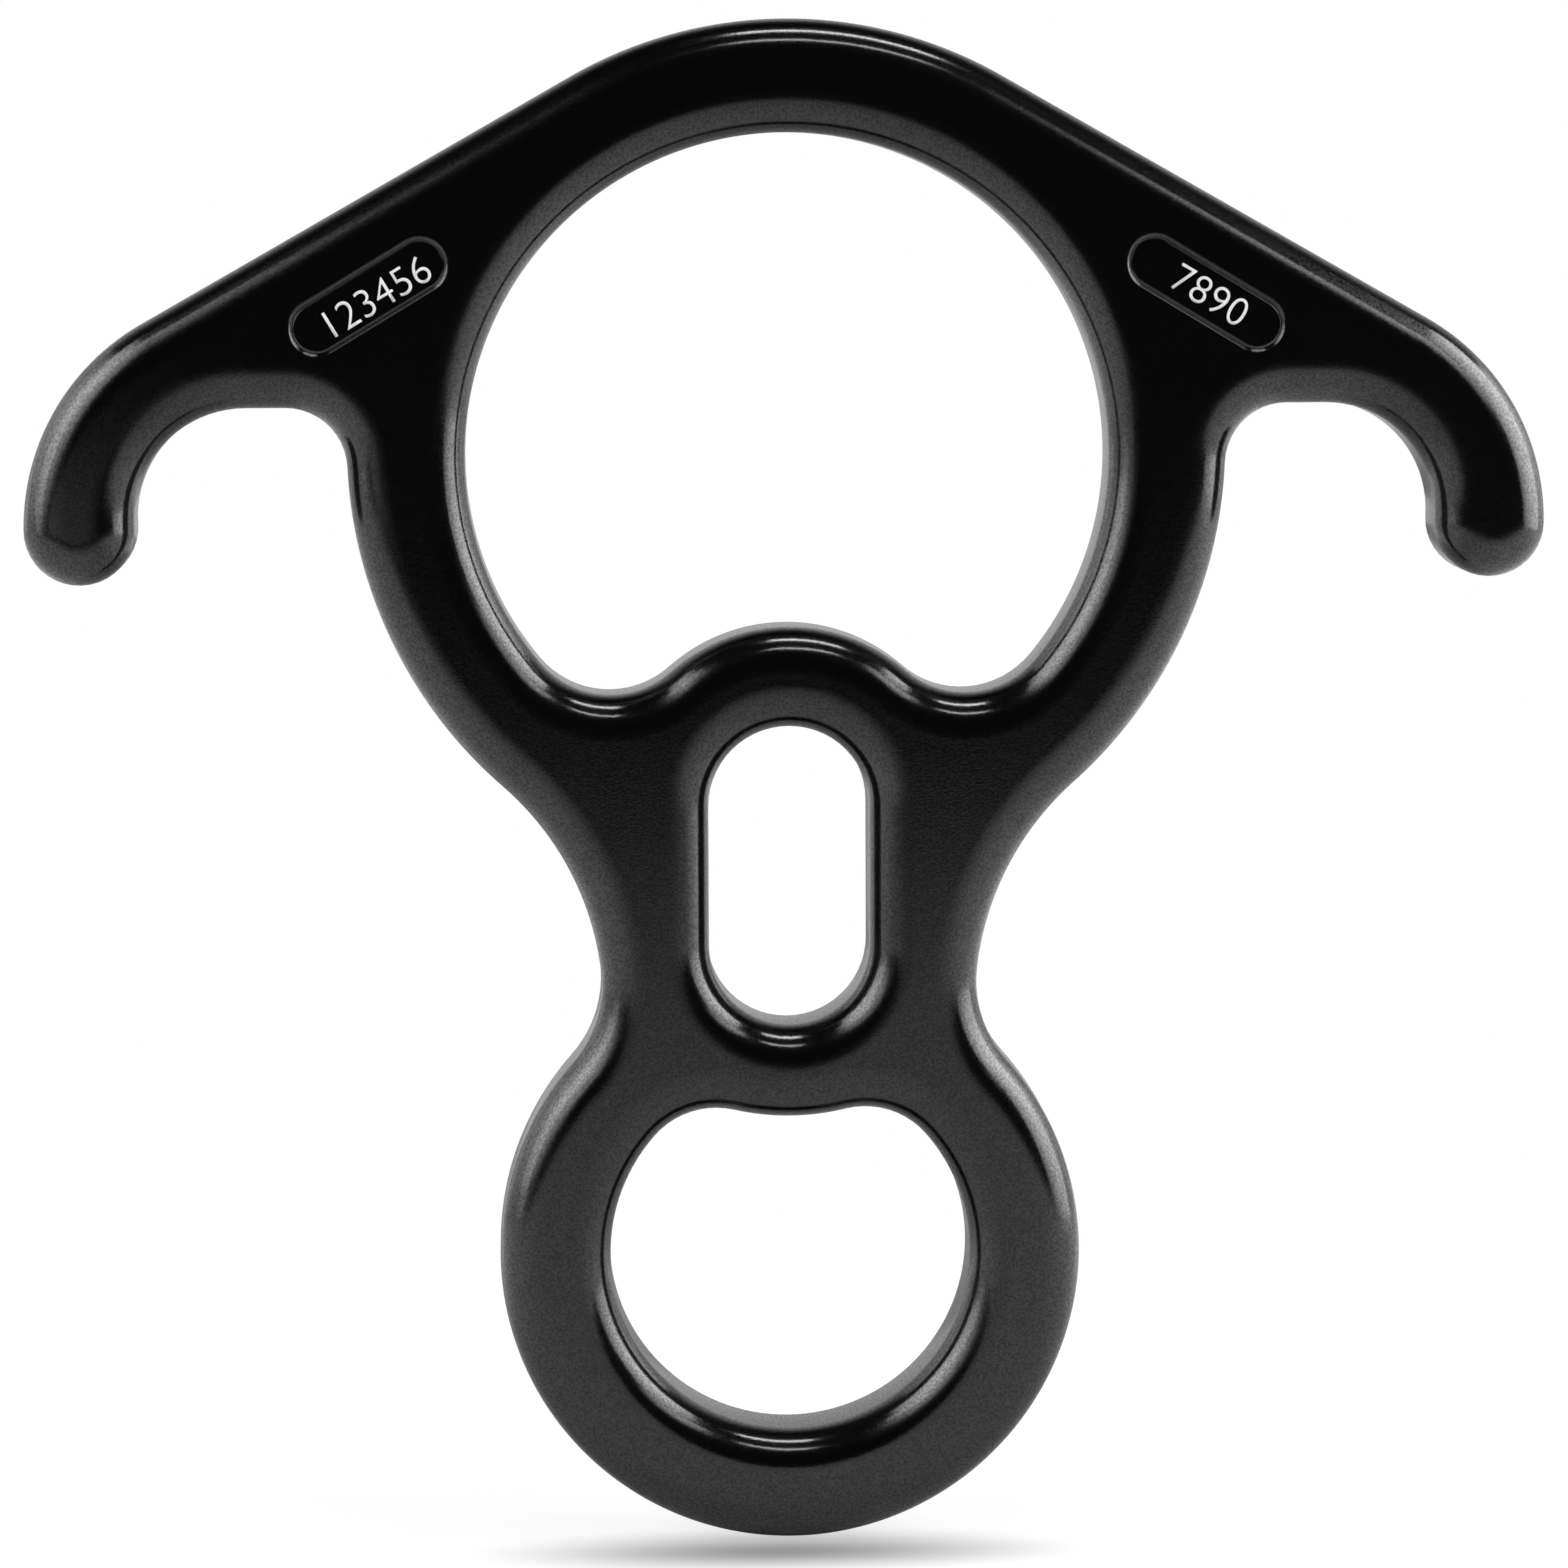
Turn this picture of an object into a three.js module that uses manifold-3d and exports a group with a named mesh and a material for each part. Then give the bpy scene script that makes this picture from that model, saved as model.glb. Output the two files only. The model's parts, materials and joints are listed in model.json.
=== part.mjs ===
// Rescue figure-eight descender with two down-turned ears, forged and machined from one
// piece of aluminium alloy plate and anodised black.
// Millimetres. +X is the wearer's right, +Y goes from the marked face to the plain face,
// +Z is up, towards the loaded rope. The origin is the crest of the rope ring's bore, at
// mid-thickness, where the loaded rope or a gear hook bears.

import * as THREE from 'three';
import { mergeVertices } from 'three/addons/utils/BufferGeometryUtils.js';
import Module from 'manifold-3d';

// Plate
const plateThickness = 13;
const edgeRadius = 3.7;

// Rope ring, the large one
const ropeBoreRadius = 31.5;
const ropeRingWall = 11;

// Saddle at the foot of the rope bore: one crest between two valleys
const saddleHeight = 14.8;
const saddleCrestRadius = 17.5;
const saddleValleyRadius = 8.9;

// Shoulders, from the crown of the rope ring down to the ears
const shoulderSlope = THREE.MathUtils.degToRad(29.6);

// Ears and the hooks under them
const earBendRadius = 23;
const earWidth = 10.8;
const earRoofWall = 11.2;
const hookGap = 20.7;
const hookInnerCornerRadius = 6;
const hookRoofFlat = 3.8;

// Flanks below the ears, just outside the ring's own circle
const flankStandOut = 1.8;
const flankCentreOffset = 1.3;
const flankCentreRise = 0.9;

// Rope slot between the rings
const slotWidth = 15.8;
const slotLength = 29.6;
const webAboveSlot = 9.8;
const webBelowSlot = 9.1;
const webBesideSlot = 10.5;

// Carabiner eye, the small ring, with its flattened crown
const eyeBoreRadius = 17.8;
const eyeRingWall = 10.9;
const eyeCrownDrop = 4.2;
const eyeCrownRadius = 24;
const eyeCornerRadius = 8;

// Waist, where the body is narrowest, and the neck that turns it into the eye ring
const waistBelowEyeTop = 3.7;
const neckRadius = 11.8;

// Marking pads, sunk in the marked face along each shoulder
const padLength = 17.6;
const padWidth = 5.9;
const padDepth = 0.4;
const padBelowShoulder = 8.6;
const padFromCentreline = 40.7;
const padSlope = THREE.MathUtils.degToRad(31);

// Roundness of the faceted solid
const chordError = 0.04;
const edgeSteps = 4;
const cutOverrun = 2;

// Rings and stack of the holes, measured down from the centre of the rope ring
const ropeRingOuterRadius = ropeBoreRadius + ropeRingWall;
const eyeRingOuterRadius = eyeBoreRadius + eyeRingWall;
const slotEndRadius = slotWidth / 2;
const saddleCrestZ = saddleHeight - ropeBoreRadius;
const slotTopZ = saddleCrestZ - webAboveSlot;
const slotBottomZ = slotTopZ - slotLength;
const eyeCrownZ = slotBottomZ - webBelowSlot;
const eyeCentreZ = eyeCrownZ - (eyeBoreRadius - eyeCrownDrop);

const ringCentre = new THREE.Vector2(0, 0);
const eyeCentre = new THREE.Vector2(0, eyeCentreZ);

// The direction from one point to another, as an angle.
function bearing(from, to) {
  return Math.atan2(to.y - from.y, to.x - from.x);
}

// The point at two given distances from two centres; side picks which of the two crossings,
// +1 for the one on the left of the way from a to b.
function crossing(a, reachA, b, reachB, side) {
  const way = b.clone().sub(a);
  const apart = way.length();
  const along = (reachA ** 2 - reachB ** 2 + apart ** 2) / (2 * apart);
  const off = side * Math.sqrt(reachA ** 2 - along ** 2);
  const unit = way.divideScalar(apart);
  return new THREE.Vector2(
    a.x + unit.x * along - unit.y * off,
    a.y + unit.y * along + unit.x * off,
  );
}

// Adds one arc to an outline, as points that stay within the chord error of the circle.
function addArc(outline, centre, radius, fromAngle, toAngle) {
  const sweep = toAngle - fromAngle;
  const stepAngle = 2 * Math.acos(1 - chordError / radius);
  const steps = Math.max(1, Math.ceil(Math.abs(sweep) / stepAngle));
  for (let step = 0; step <= steps; step++) {
    const angle = fromAngle + (sweep * step) / steps;
    outline.push(new THREE.Vector2(
      centre.x + radius * Math.cos(angle),
      centre.y + radius * Math.sin(angle),
    ));
  }
}

// An angle moved by whole turns until it is above, or below, a given one.
function turnedAbove(angle, limit) {
  return angle < limit ? turnedAbove(angle + 2 * Math.PI, limit) : angle;
}
function turnedBelow(angle, limit) {
  return angle > limit ? turnedBelow(angle - 2 * Math.PI, limit) : angle;
}

// Closes a right-hand half outline, which runs from the centreline to the centreline, with
// its mirror image, and leaves out points that fall on each other.
function mirrored(half) {
  const left = half.map((point) => new THREE.Vector2(-point.x, point.y)).reverse();
  const whole = [...half, ...left];
  const samePlace = chordError / 10;
  return whole.filter((point, index) => {
    const next = whole[(index + 1) % whole.length];
    return point.distanceTo(next) > samePlace;
  });
}

// Outer outline, clockwise from the top: crown, shoulder, ear, hook, flank, waist, neck and
// eye ring. Every stretch is tangent to the next.
function outerOutline() {
  const up = Math.PI / 2;
  const tipRadius = earWidth / 2;
  const flankCentre = new THREE.Vector2(-flankCentreOffset, flankCentreRise);
  const flankRadius = ropeRingOuterRadius + flankStandOut;
  const hookInnerX = flankCentre.x + flankRadius;

  // The ear's bend rests against the shoulder line, and its tip is level with the bend.
  const tipX = hookInnerX + hookGap + tipRadius;
  const bendX = tipX - (earBendRadius - tipRadius);
  const bendRise = ropeRingOuterRadius - earBendRadius - bendX * Math.sin(shoulderSlope);
  const bendCentre = new THREE.Vector2(bendX, bendRise / Math.cos(shoulderSlope));
  const tipCentre = new THREE.Vector2(tipX, bendCentre.y);

  // The hook's roof is flat between two corners: a wide one by the tip, a tight one inside.
  const roofZ = bendCentre.y + earBendRadius - earRoofWall;
  const outerCornerRadius = hookGap - hookInnerCornerRadius - hookRoofFlat;
  const outerCornerZ = roofZ - outerCornerRadius;
  const tipReach = outerCornerRadius + tipRadius;
  const tipRise = outerCornerZ - tipCentre.y;
  const outerCorner = new THREE.Vector2(
    tipCentre.x - Math.sqrt(tipReach ** 2 - tipRise ** 2),
    outerCornerZ,
  );
  const innerCornerZ = roofZ - hookInnerCornerRadius;
  const innerReach = flankRadius + hookInnerCornerRadius;
  const innerCorner = new THREE.Vector2(
    flankCentre.x + Math.sqrt(innerReach ** 2 - (innerCornerZ - flankCentre.y) ** 2),
    innerCornerZ,
  );

  // The waist arc leaves the flank smoothly and is narrowest beside the slot's foot.
  const waistHalf = slotEndRadius + webBesideSlot;
  const waistZ = eyeCentreZ + eyeRingOuterRadius - waistBelowEyeTop;
  const waistDrop = flankCentre.y - waistZ;
  const waistReach = waistHalf - flankCentre.x;
  const waistRadius = (waistReach ** 2 + waistDrop ** 2 - flankRadius ** 2)
    / (2 * (flankRadius - waistReach));
  const waistCentre = new THREE.Vector2(waistHalf + waistRadius, waistZ);
  const neckCentre = crossing(
    waistCentre, waistRadius - neckRadius, eyeCentre, eyeRingOuterRadius + neckRadius, -1,
  );

  const half = [];
  addArc(half, ringCentre, ropeRingOuterRadius, up, up - shoulderSlope);
  addArc(half, bendCentre, earBendRadius, up - shoulderSlope, 0);
  addArc(half, tipCentre, tipRadius, 0, turnedBelow(bearing(tipCentre, outerCorner), 0));
  addArc(half, outerCorner, outerCornerRadius, bearing(outerCorner, tipCentre), up);
  addArc(half, innerCorner, hookInnerCornerRadius,
    up, turnedAbove(bearing(innerCorner, flankCentre), up));
  addArc(half, flankCentre, flankRadius,
    bearing(flankCentre, innerCorner), bearing(flankCentre, waistCentre));
  const waistStart = turnedAbove(bearing(waistCentre, flankCentre), 0);
  const waistEnd = turnedAbove(bearing(waistCentre, neckCentre), 0);
  addArc(half, waistCentre, waistRadius, waistStart, waistEnd);
  addArc(half, neckCentre, neckRadius, waistEnd, turnedAbove(bearing(neckCentre, eyeCentre), 0));
  addArc(half, eyeCentre, eyeRingOuterRadius, bearing(eyeCentre, neckCentre), -up);
  return mirrored(half);
}

// A round bore whose one side is pushed in by a crest: an arc about a point on the
// centreline, with a corner or valley on each side of it. The crest's centre lies below the
// bore's centre in the rope bore and above it in the eye.
function crestedBore(centre, boreRadius, crestCentre, crestRadius, cornerRadius) {
  const crestBelow = crestCentre.y < centre.y;
  const corner = crossing(
    centre, boreRadius - cornerRadius, crestCentre, crestRadius + cornerRadius,
    crestBelow ? 1 : -1,
  );
  const up = Math.PI / 2;
  const far = crestBelow ? up : -up;
  const boreEnd = bearing(centre, corner);
  const cornerEnd = bearing(corner, crestCentre);
  const half = [];
  addArc(half, centre, boreRadius, far, boreEnd);
  addArc(half, corner, cornerRadius, boreEnd,
    crestBelow ? turnedBelow(cornerEnd, boreEnd) : turnedAbove(cornerEnd, boreEnd));
  addArc(half, crestCentre, crestRadius, bearing(crestCentre, corner), far);
  return mirrored(half);
}

function ropeBore() {
  const crestCentre = new THREE.Vector2(0, saddleCrestZ - saddleCrestRadius);
  return crestedBore(
    ringCentre, ropeBoreRadius, crestCentre, saddleCrestRadius, saddleValleyRadius,
  );
}

function carabinerEye() {
  const crestCentre = new THREE.Vector2(0, eyeCrownZ + eyeCrownRadius);
  return crestedBore(eyeCentre, eyeBoreRadius, crestCentre, eyeCrownRadius, eyeCornerRadius);
}

// A slot with full round ends, upright on the centreline.
function uprightSlot(topZ, bottomZ, endRadius) {
  const half = [];
  addArc(half, new THREE.Vector2(0, topZ - endRadius), endRadius, Math.PI / 2, 0);
  addArc(half, new THREE.Vector2(0, bottomZ + endRadius), endRadius, 0, -Math.PI / 2);
  return mirrored(half);
}

function ropeSlot() {
  return uprightSlot(slotTopZ, slotBottomZ, slotEndRadius);
}

// A closed solid from a geometry, with its shared vertices merged.
function toSolid(wasm, geometry) {
  geometry.deleteAttribute('normal');
  geometry.deleteAttribute('uv');
  const merged = mergeVertices(geometry);
  return new wasm.Manifold(new wasm.Mesh({
    numProp: 3,
    vertProperties: new Float32Array(merged.getAttribute('position').array),
    triVerts: new Uint32Array(merged.getIndex().array),
  }));
}

function toGeometry(solid) {
  const mesh = solid.getMesh();
  const geometry = new THREE.BufferGeometry();
  geometry.setAttribute('position', new THREE.BufferAttribute(mesh.vertProperties, 3));
  geometry.setIndex(new THREE.BufferAttribute(mesh.triVerts, 1));
  geometry.computeVertexNormals();
  return geometry;
}

// The plate, drawn flat in X and Y with its marked face up, edges rounded all round.
function plateBlank() {
  // Reversed to run counter-clockwise, because only then are the holes wound against it.
  const outline = new THREE.Shape(outerOutline().reverse());
  const holes = [ropeBore(), ropeSlot(), carabinerEye()];
  outline.holes = holes.map((points) => new THREE.Path(points));
  const flatWall = plateThickness - 2 * edgeRadius;
  const blank = new THREE.ExtrudeGeometry(outline, {
    depth: flatWall,
    bevelThickness: edgeRadius,
    bevelSize: edgeRadius,
    bevelOffset: -edgeRadius,
    bevelSegments: edgeSteps,
  });
  blank.translate(0, 0, -flatWall / 2);
  return blank;
}

// The cutter of one marking pad, a little steeper than its shoulder; side is +1 right, -1 left.
function padCutter(side) {
  const endRadius = padWidth / 2;
  const pill = new THREE.Shape(uprightSlot(padLength / 2, -padLength / 2, endRadius));
  const cutter = new THREE.ExtrudeGeometry(pill, {
    depth: padDepth + cutOverrun,
    bevelEnabled: false,
  });
  const shoulderZ = (ropeRingOuterRadius - padFromCentreline * Math.sin(shoulderSlope))
    / Math.cos(shoulderSlope);
  const padZ = shoulderZ - padBelowShoulder / Math.cos(shoulderSlope);
  cutter.rotateZ(side * (Math.PI / 2 - padSlope));
  cutter.translate(side * padFromCentreline, padZ, plateThickness / 2 - padDepth);
  return cutter;
}

async function forgedBody() {
  const wasm = await Module();
  wasm.setup();
  const blank = toSolid(wasm, plateBlank());
  const marked = [1, -1].reduce(
    (solid, side) => solid.subtract(toSolid(wasm, padCutter(side))), blank,
  );
  const blackAnodised = new THREE.MeshStandardMaterial({
    color: 0x141416,
    roughness: 0.3,
    metalness: 0.4,
  });
  const body = new THREE.Mesh(toGeometry(marked), blackAnodised);
  body.name = 'forged_body';
  return body;
}

// The plate stands upright, with its marked face forward, and hangs from the origin by the
// crest of the rope bore.
const descender = new THREE.Group();
const body = await forgedBody();
body.rotation.x = Math.PI / 2;
body.position.z = -ropeBoreRadius;
descender.add(body);

export default descender;
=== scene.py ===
import json
from math import atan2, ceil, cos, pi, radians, sin, sqrt, tau

import bmesh
import bpy
from mathutils import Matrix, Vector

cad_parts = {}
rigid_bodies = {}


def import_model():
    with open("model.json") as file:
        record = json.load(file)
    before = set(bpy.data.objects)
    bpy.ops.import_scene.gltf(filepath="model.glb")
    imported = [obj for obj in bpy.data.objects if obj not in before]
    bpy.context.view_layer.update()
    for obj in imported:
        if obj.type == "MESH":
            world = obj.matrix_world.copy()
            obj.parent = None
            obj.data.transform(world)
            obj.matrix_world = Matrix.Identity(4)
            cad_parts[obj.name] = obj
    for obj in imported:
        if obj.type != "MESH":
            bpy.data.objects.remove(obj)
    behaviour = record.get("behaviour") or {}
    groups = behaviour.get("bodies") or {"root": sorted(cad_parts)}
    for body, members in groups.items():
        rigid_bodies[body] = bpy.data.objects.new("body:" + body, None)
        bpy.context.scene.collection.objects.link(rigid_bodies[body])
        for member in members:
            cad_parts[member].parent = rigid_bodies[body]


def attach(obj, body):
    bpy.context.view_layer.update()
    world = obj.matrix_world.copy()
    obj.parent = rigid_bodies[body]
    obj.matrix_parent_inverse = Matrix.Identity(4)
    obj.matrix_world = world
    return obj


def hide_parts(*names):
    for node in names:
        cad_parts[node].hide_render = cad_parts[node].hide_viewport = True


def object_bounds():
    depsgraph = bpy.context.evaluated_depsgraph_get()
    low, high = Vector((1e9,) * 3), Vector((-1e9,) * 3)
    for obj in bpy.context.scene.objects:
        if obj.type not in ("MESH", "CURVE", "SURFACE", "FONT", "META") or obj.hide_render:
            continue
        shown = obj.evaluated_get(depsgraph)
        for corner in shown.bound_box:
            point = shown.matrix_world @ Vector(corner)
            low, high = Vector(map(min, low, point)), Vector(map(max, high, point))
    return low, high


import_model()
cad_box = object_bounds()

MM = 0.001

# Camera. The photograph looks at the marked face from 600 mm away, a little from above
# and from the left, through a long lens, and leans by a fifth of a degree.
CAMERA_DISTANCE = 600 * MM
FIELD_WIDTH = 155 * MM
CAMERA_YAW = radians(2.53)
CAMERA_PITCH = radians(6.02)
CAMERA_ROLL = radians(-0.215)
LOOK_AT = Vector((-0.32 * MM, 0, -64.05 * MM))
SENSOR_WIDTH_MM = 36

bpy.ops.object.camera_add()
camera = bpy.context.object
camera.name = "photo_camera"
camera.data.sensor_width = SENSOR_WIDTH_MM
camera.data.lens = SENSOR_WIDTH_MM * CAMERA_DISTANCE / FIELD_WIDTH
facing = (
    Matrix.Rotation(-CAMERA_YAW, 4, "Z")
    @ Matrix.Rotation(pi / 2 - CAMERA_PITCH, 4, "X")
    @ Matrix.Rotation(CAMERA_ROLL, 4, "Z")
)
camera.matrix_world = (
    Matrix.Translation(LOOK_AT) @ facing @ Matrix.Translation((0, 0, CAMERA_DISTANCE))
)
bpy.context.scene.camera = camera
bpy.context.scene.view_settings.view_transform = "Standard"


# Body. One piece of aluminium alloy, forged to this outline, machined to thickness, rounded at
# its edges, tumbled and anodised black. Each outline is a chain of arcs and straights. The
# edge's profile is swept along the right half of it, then mirrored to the left and the back.
PLATE_THICKNESS = 13 * MM
EDGE_RADIUS = 3.55 * MM
ROLL_OFF_TILT = radians(6)
ROLL_OFF_WIDTH = 1.2 * MM
ROPE_BORE_RADIUS = 31.5 * MM
ROPE_RING_WALL = 11 * MM
SADDLE_HEIGHT = 14.8 * MM
SADDLE_CREST_RADIUS = 17.5 * MM
SADDLE_VALLEY_RADIUS = 8.9 * MM
SHOULDER_SLOPE = radians(29.6)
EAR_BEND_RADIUS = 23 * MM
EAR_WIDTH = 10.8 * MM
EAR_ROOF_WALL = 11.2 * MM
HOOK_GAP = 20.7 * MM
HOOK_INNER_CORNER_RADIUS = 6 * MM
HOOK_ROOF_FLAT = 3.8 * MM
FLANK_STAND_OUT = 1.8 * MM
FLANK_CENTRE_OFFSET = 1.3 * MM
FLANK_CENTRE_RISE = 0.9 * MM
SLOT_WIDTH = 15.8 * MM
SLOT_LENGTH = 29.6 * MM
WEB_ABOVE_SLOT = 9.8 * MM
WEB_BELOW_SLOT = 9.1 * MM
WEB_BESIDE_SLOT = 10.5 * MM
EYE_BORE_RADIUS = 17.8 * MM
EYE_RING_WALL = 10.9 * MM
EYE_CROWN_DROP = 4.2 * MM
EYE_CROWN_RADIUS = 24 * MM
EYE_CORNER_RADIUS = 8 * MM
WAIST_BELOW_EYE_TOP = 3.7 * MM
NECK_RADIUS = 11.8 * MM

SWEEP_STEP = 0.9 * MM
PROFILE_STEPS = 12
ROLL_OFF_STEPS = 4
FLAT_RIM = 0.1 * MM
MERGE_DISTANCE = 0.01 * MM

rope_outer = ROPE_BORE_RADIUS + ROPE_RING_WALL
eye_outer = EYE_BORE_RADIUS + EYE_RING_WALL
ring_z = -ROPE_BORE_RADIUS
saddle_z = ring_z + SADDLE_HEIGHT - ROPE_BORE_RADIUS
slot_top_z = saddle_z - WEB_ABOVE_SLOT
slot_bottom_z = slot_top_z - SLOT_LENGTH
eye_crown_z = slot_bottom_z - WEB_BELOW_SLOT
eye_z = eye_crown_z - (EYE_BORE_RADIUS - EYE_CROWN_DROP)


def place(x, z):
    """A point of the outline, at mid-thickness."""
    return Vector((x, 0, z))


def bearing(start, end):
    """The direction from one outline point to another, anticlockwise from +X."""
    return atan2(end.z - start.z, end.x - start.x)


def crossing(first, first_reach, second, second_reach, side):
    """The point at a reach from each of two centres. Side is +1 where it lies on the left of
    the way from the first to the second, and -1 where it lies on the right."""
    apart = (second - first).length
    along = (first_reach**2 - second_reach**2 + apart**2) / (2 * apart)
    off = side * sqrt(first_reach**2 - along**2)
    way = (second - first) / apart
    return place(
        first.x + way.x * along - way.z * off, first.z + way.z * along + way.x * off
    )


def start_piece():
    """Adds a primitive at the origin, drawn in to one vertex, in edit mode."""
    bpy.ops.object.select_all(action="DESELECT")
    bpy.ops.mesh.primitive_plane_add(size=MM)
    bpy.ops.object.mode_set(mode="EDIT")
    bpy.ops.mesh.select_all(action="SELECT")
    bpy.ops.mesh.merge(type="CENTER")


def next_edge():
    """Starts another edge of the same mesh from a single vertex at the origin."""
    bpy.ops.mesh.select_all(action="DESELECT")
    bpy.ops.mesh.primitive_plane_add(size=MM)
    bpy.ops.mesh.merge(type="CENTER")


def extrude_by(way):
    """Extrudes what is selected along a straight stretch."""
    bpy.ops.mesh.extrude_region_move(TRANSFORM_OT_translate={"value": way})


def start_profile(z, inward):
    """Draws the edge's profile at the centreline, from mid-wall to the marked face: a round
    edge, then a wide shallow roll-off onto the face. Inward is +1 where the metal lies above
    the edge and -1 where it lies below."""
    roll_off_radius = ROLL_OFF_WIDTH / sin(ROLL_OFF_TILT)
    roll_off_drop = roll_off_radius * (1 - cos(ROLL_OFF_TILT))
    round_depth = EDGE_RADIUS * cos(ROLL_OFF_TILT)
    round_width = EDGE_RADIUS * (1 - sin(ROLL_OFF_TILT))
    half_wall = PLATE_THICKNESS / 2 - roll_off_drop - round_depth
    bpy.ops.transform.translate(value=(0, 0, z))
    extrude_by(Vector((0, -half_wall, 0)))
    bpy.ops.mesh.spin(
        steps=PROFILE_STEPS,
        angle=inward * (pi / 2 - ROLL_OFF_TILT),
        center=(0, -half_wall, z + inward * EDGE_RADIUS),
        axis=(1, 0, 0),
    )
    bpy.ops.mesh.spin(
        steps=ROLL_OFF_STEPS,
        angle=inward * ROLL_OFF_TILT,
        center=(
            0,
            roll_off_radius - PLATE_THICKNESS / 2,
            z + inward * (round_width + ROLL_OFF_WIDTH),
        ),
        axis=(1, 0, 0),
    )
    extrude_by(Vector((0, 0, inward * FLAT_RIM)))
    bpy.ops.mesh.select_linked()


def sweep(centre, radius, start_angle, end_angle, clockwise):
    """Carries the selected profile round a centre, between two bearings."""
    if clockwise:
        angle = -((start_angle - end_angle) % tau)
    else:
        angle = (end_angle - start_angle) % tau
    steps = max(1, ceil(abs(angle) * radius / SWEEP_STEP))
    bpy.ops.mesh.spin(steps=steps, angle=angle, center=centre, axis=(0, 1, 0))


UP = pi / 2
ring_centre = place(0, ring_z)
eye_centre = place(0, eye_z)

tip_radius = EAR_WIDTH / 2
flank_centre = place(-FLANK_CENTRE_OFFSET, ring_z + FLANK_CENTRE_RISE)
flank_radius = rope_outer + FLANK_STAND_OUT
tip_x = flank_centre.x + flank_radius + HOOK_GAP + tip_radius
bend_x = tip_x - (EAR_BEND_RADIUS - tip_radius)
bend_rise = rope_outer - EAR_BEND_RADIUS - bend_x * sin(SHOULDER_SLOPE)
bend_centre = place(bend_x, ring_z + bend_rise / cos(SHOULDER_SLOPE))
tip_centre = place(tip_x, bend_centre.z)
roof_z = bend_centre.z + EAR_BEND_RADIUS - EAR_ROOF_WALL
outer_corner_radius = HOOK_GAP - HOOK_INNER_CORNER_RADIUS - HOOK_ROOF_FLAT
outer_corner_z = roof_z - outer_corner_radius
tip_reach = outer_corner_radius + tip_radius
outer_corner = place(
    tip_x - sqrt(tip_reach**2 - (outer_corner_z - tip_centre.z) ** 2), outer_corner_z
)
inner_corner_z = roof_z - HOOK_INNER_CORNER_RADIUS
inner_reach = flank_radius + HOOK_INNER_CORNER_RADIUS
inner_corner = place(
    flank_centre.x + sqrt(inner_reach**2 - (inner_corner_z - flank_centre.z) ** 2),
    inner_corner_z,
)
waist_half = SLOT_WIDTH / 2 + WEB_BESIDE_SLOT
waist_z = eye_z + eye_outer - WAIST_BELOW_EYE_TOP
waist_drop = flank_centre.z - waist_z
waist_reach = waist_half - flank_centre.x
waist_radius = (waist_reach**2 + waist_drop**2 - flank_radius**2) / (
    2 * (flank_radius - waist_reach)
)
waist_centre = place(waist_half + waist_radius, waist_z)
neck_centre = crossing(
    waist_centre, waist_radius - NECK_RADIUS, eye_centre, eye_outer + NECK_RADIUS, side=-1
)

start_piece()
body = bpy.context.object
body.name = "descender_body"

# Outer edge, clockwise from the crown: shoulder, ear, hook, flank, waist, neck, eye ring.
start_profile(ring_z + rope_outer, inward=-1)
sweep(ring_centre, rope_outer, UP, UP - SHOULDER_SLOPE, clockwise=True)
square_to_shoulder = Vector((sin(SHOULDER_SLOPE), 0, cos(SHOULDER_SLOPE)))
extrude_by(
    bend_centre - ring_centre + square_to_shoulder * (EAR_BEND_RADIUS - rope_outer)
)
sweep(bend_centre, EAR_BEND_RADIUS, UP - SHOULDER_SLOPE, 0, clockwise=True)
sweep(tip_centre, tip_radius, 0, bearing(tip_centre, outer_corner), clockwise=True)
sweep(outer_corner, outer_corner_radius, bearing(outer_corner, tip_centre), UP, clockwise=False)
extrude_by(place(inner_corner.x - outer_corner.x, 0))
sweep(inner_corner, HOOK_INNER_CORNER_RADIUS,
      UP, bearing(inner_corner, flank_centre), clockwise=False)
sweep(flank_centre, flank_radius, bearing(flank_centre, inner_corner),
      bearing(flank_centre, waist_centre), clockwise=True)
sweep(waist_centre, waist_radius, bearing(waist_centre, flank_centre),
      bearing(waist_centre, neck_centre), clockwise=False)
sweep(neck_centre, NECK_RADIUS, bearing(waist_centre, neck_centre),
      bearing(neck_centre, eye_centre), clockwise=False)
sweep(eye_centre, eye_outer, bearing(eye_centre, neck_centre), -UP, clockwise=True)

# Rope bore: a round hole with a saddle at its foot, one crest between two valleys.
crest_centre = place(0, saddle_z - SADDLE_CREST_RADIUS)
valley = crossing(
    ring_centre, ROPE_BORE_RADIUS - SADDLE_VALLEY_RADIUS,
    crest_centre, SADDLE_CREST_RADIUS + SADDLE_VALLEY_RADIUS, side=1,
)
next_edge()
start_profile(ring_z + ROPE_BORE_RADIUS, inward=1)
sweep(ring_centre, ROPE_BORE_RADIUS, UP, bearing(ring_centre, valley), clockwise=True)
sweep(valley, SADDLE_VALLEY_RADIUS, bearing(ring_centre, valley),
      bearing(valley, crest_centre), clockwise=True)
sweep(crest_centre, SADDLE_CREST_RADIUS, bearing(crest_centre, valley), UP, clockwise=False)

# Rope slot, with full round ends.
slot_end = SLOT_WIDTH / 2
upper_end = place(0, slot_top_z - slot_end)
lower_end = place(0, slot_bottom_z + slot_end)
next_edge()
start_profile(slot_top_z, inward=1)
sweep(upper_end, slot_end, UP, 0, clockwise=True)
extrude_by(lower_end - upper_end)
sweep(lower_end, slot_end, 0, -UP, clockwise=True)

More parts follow.
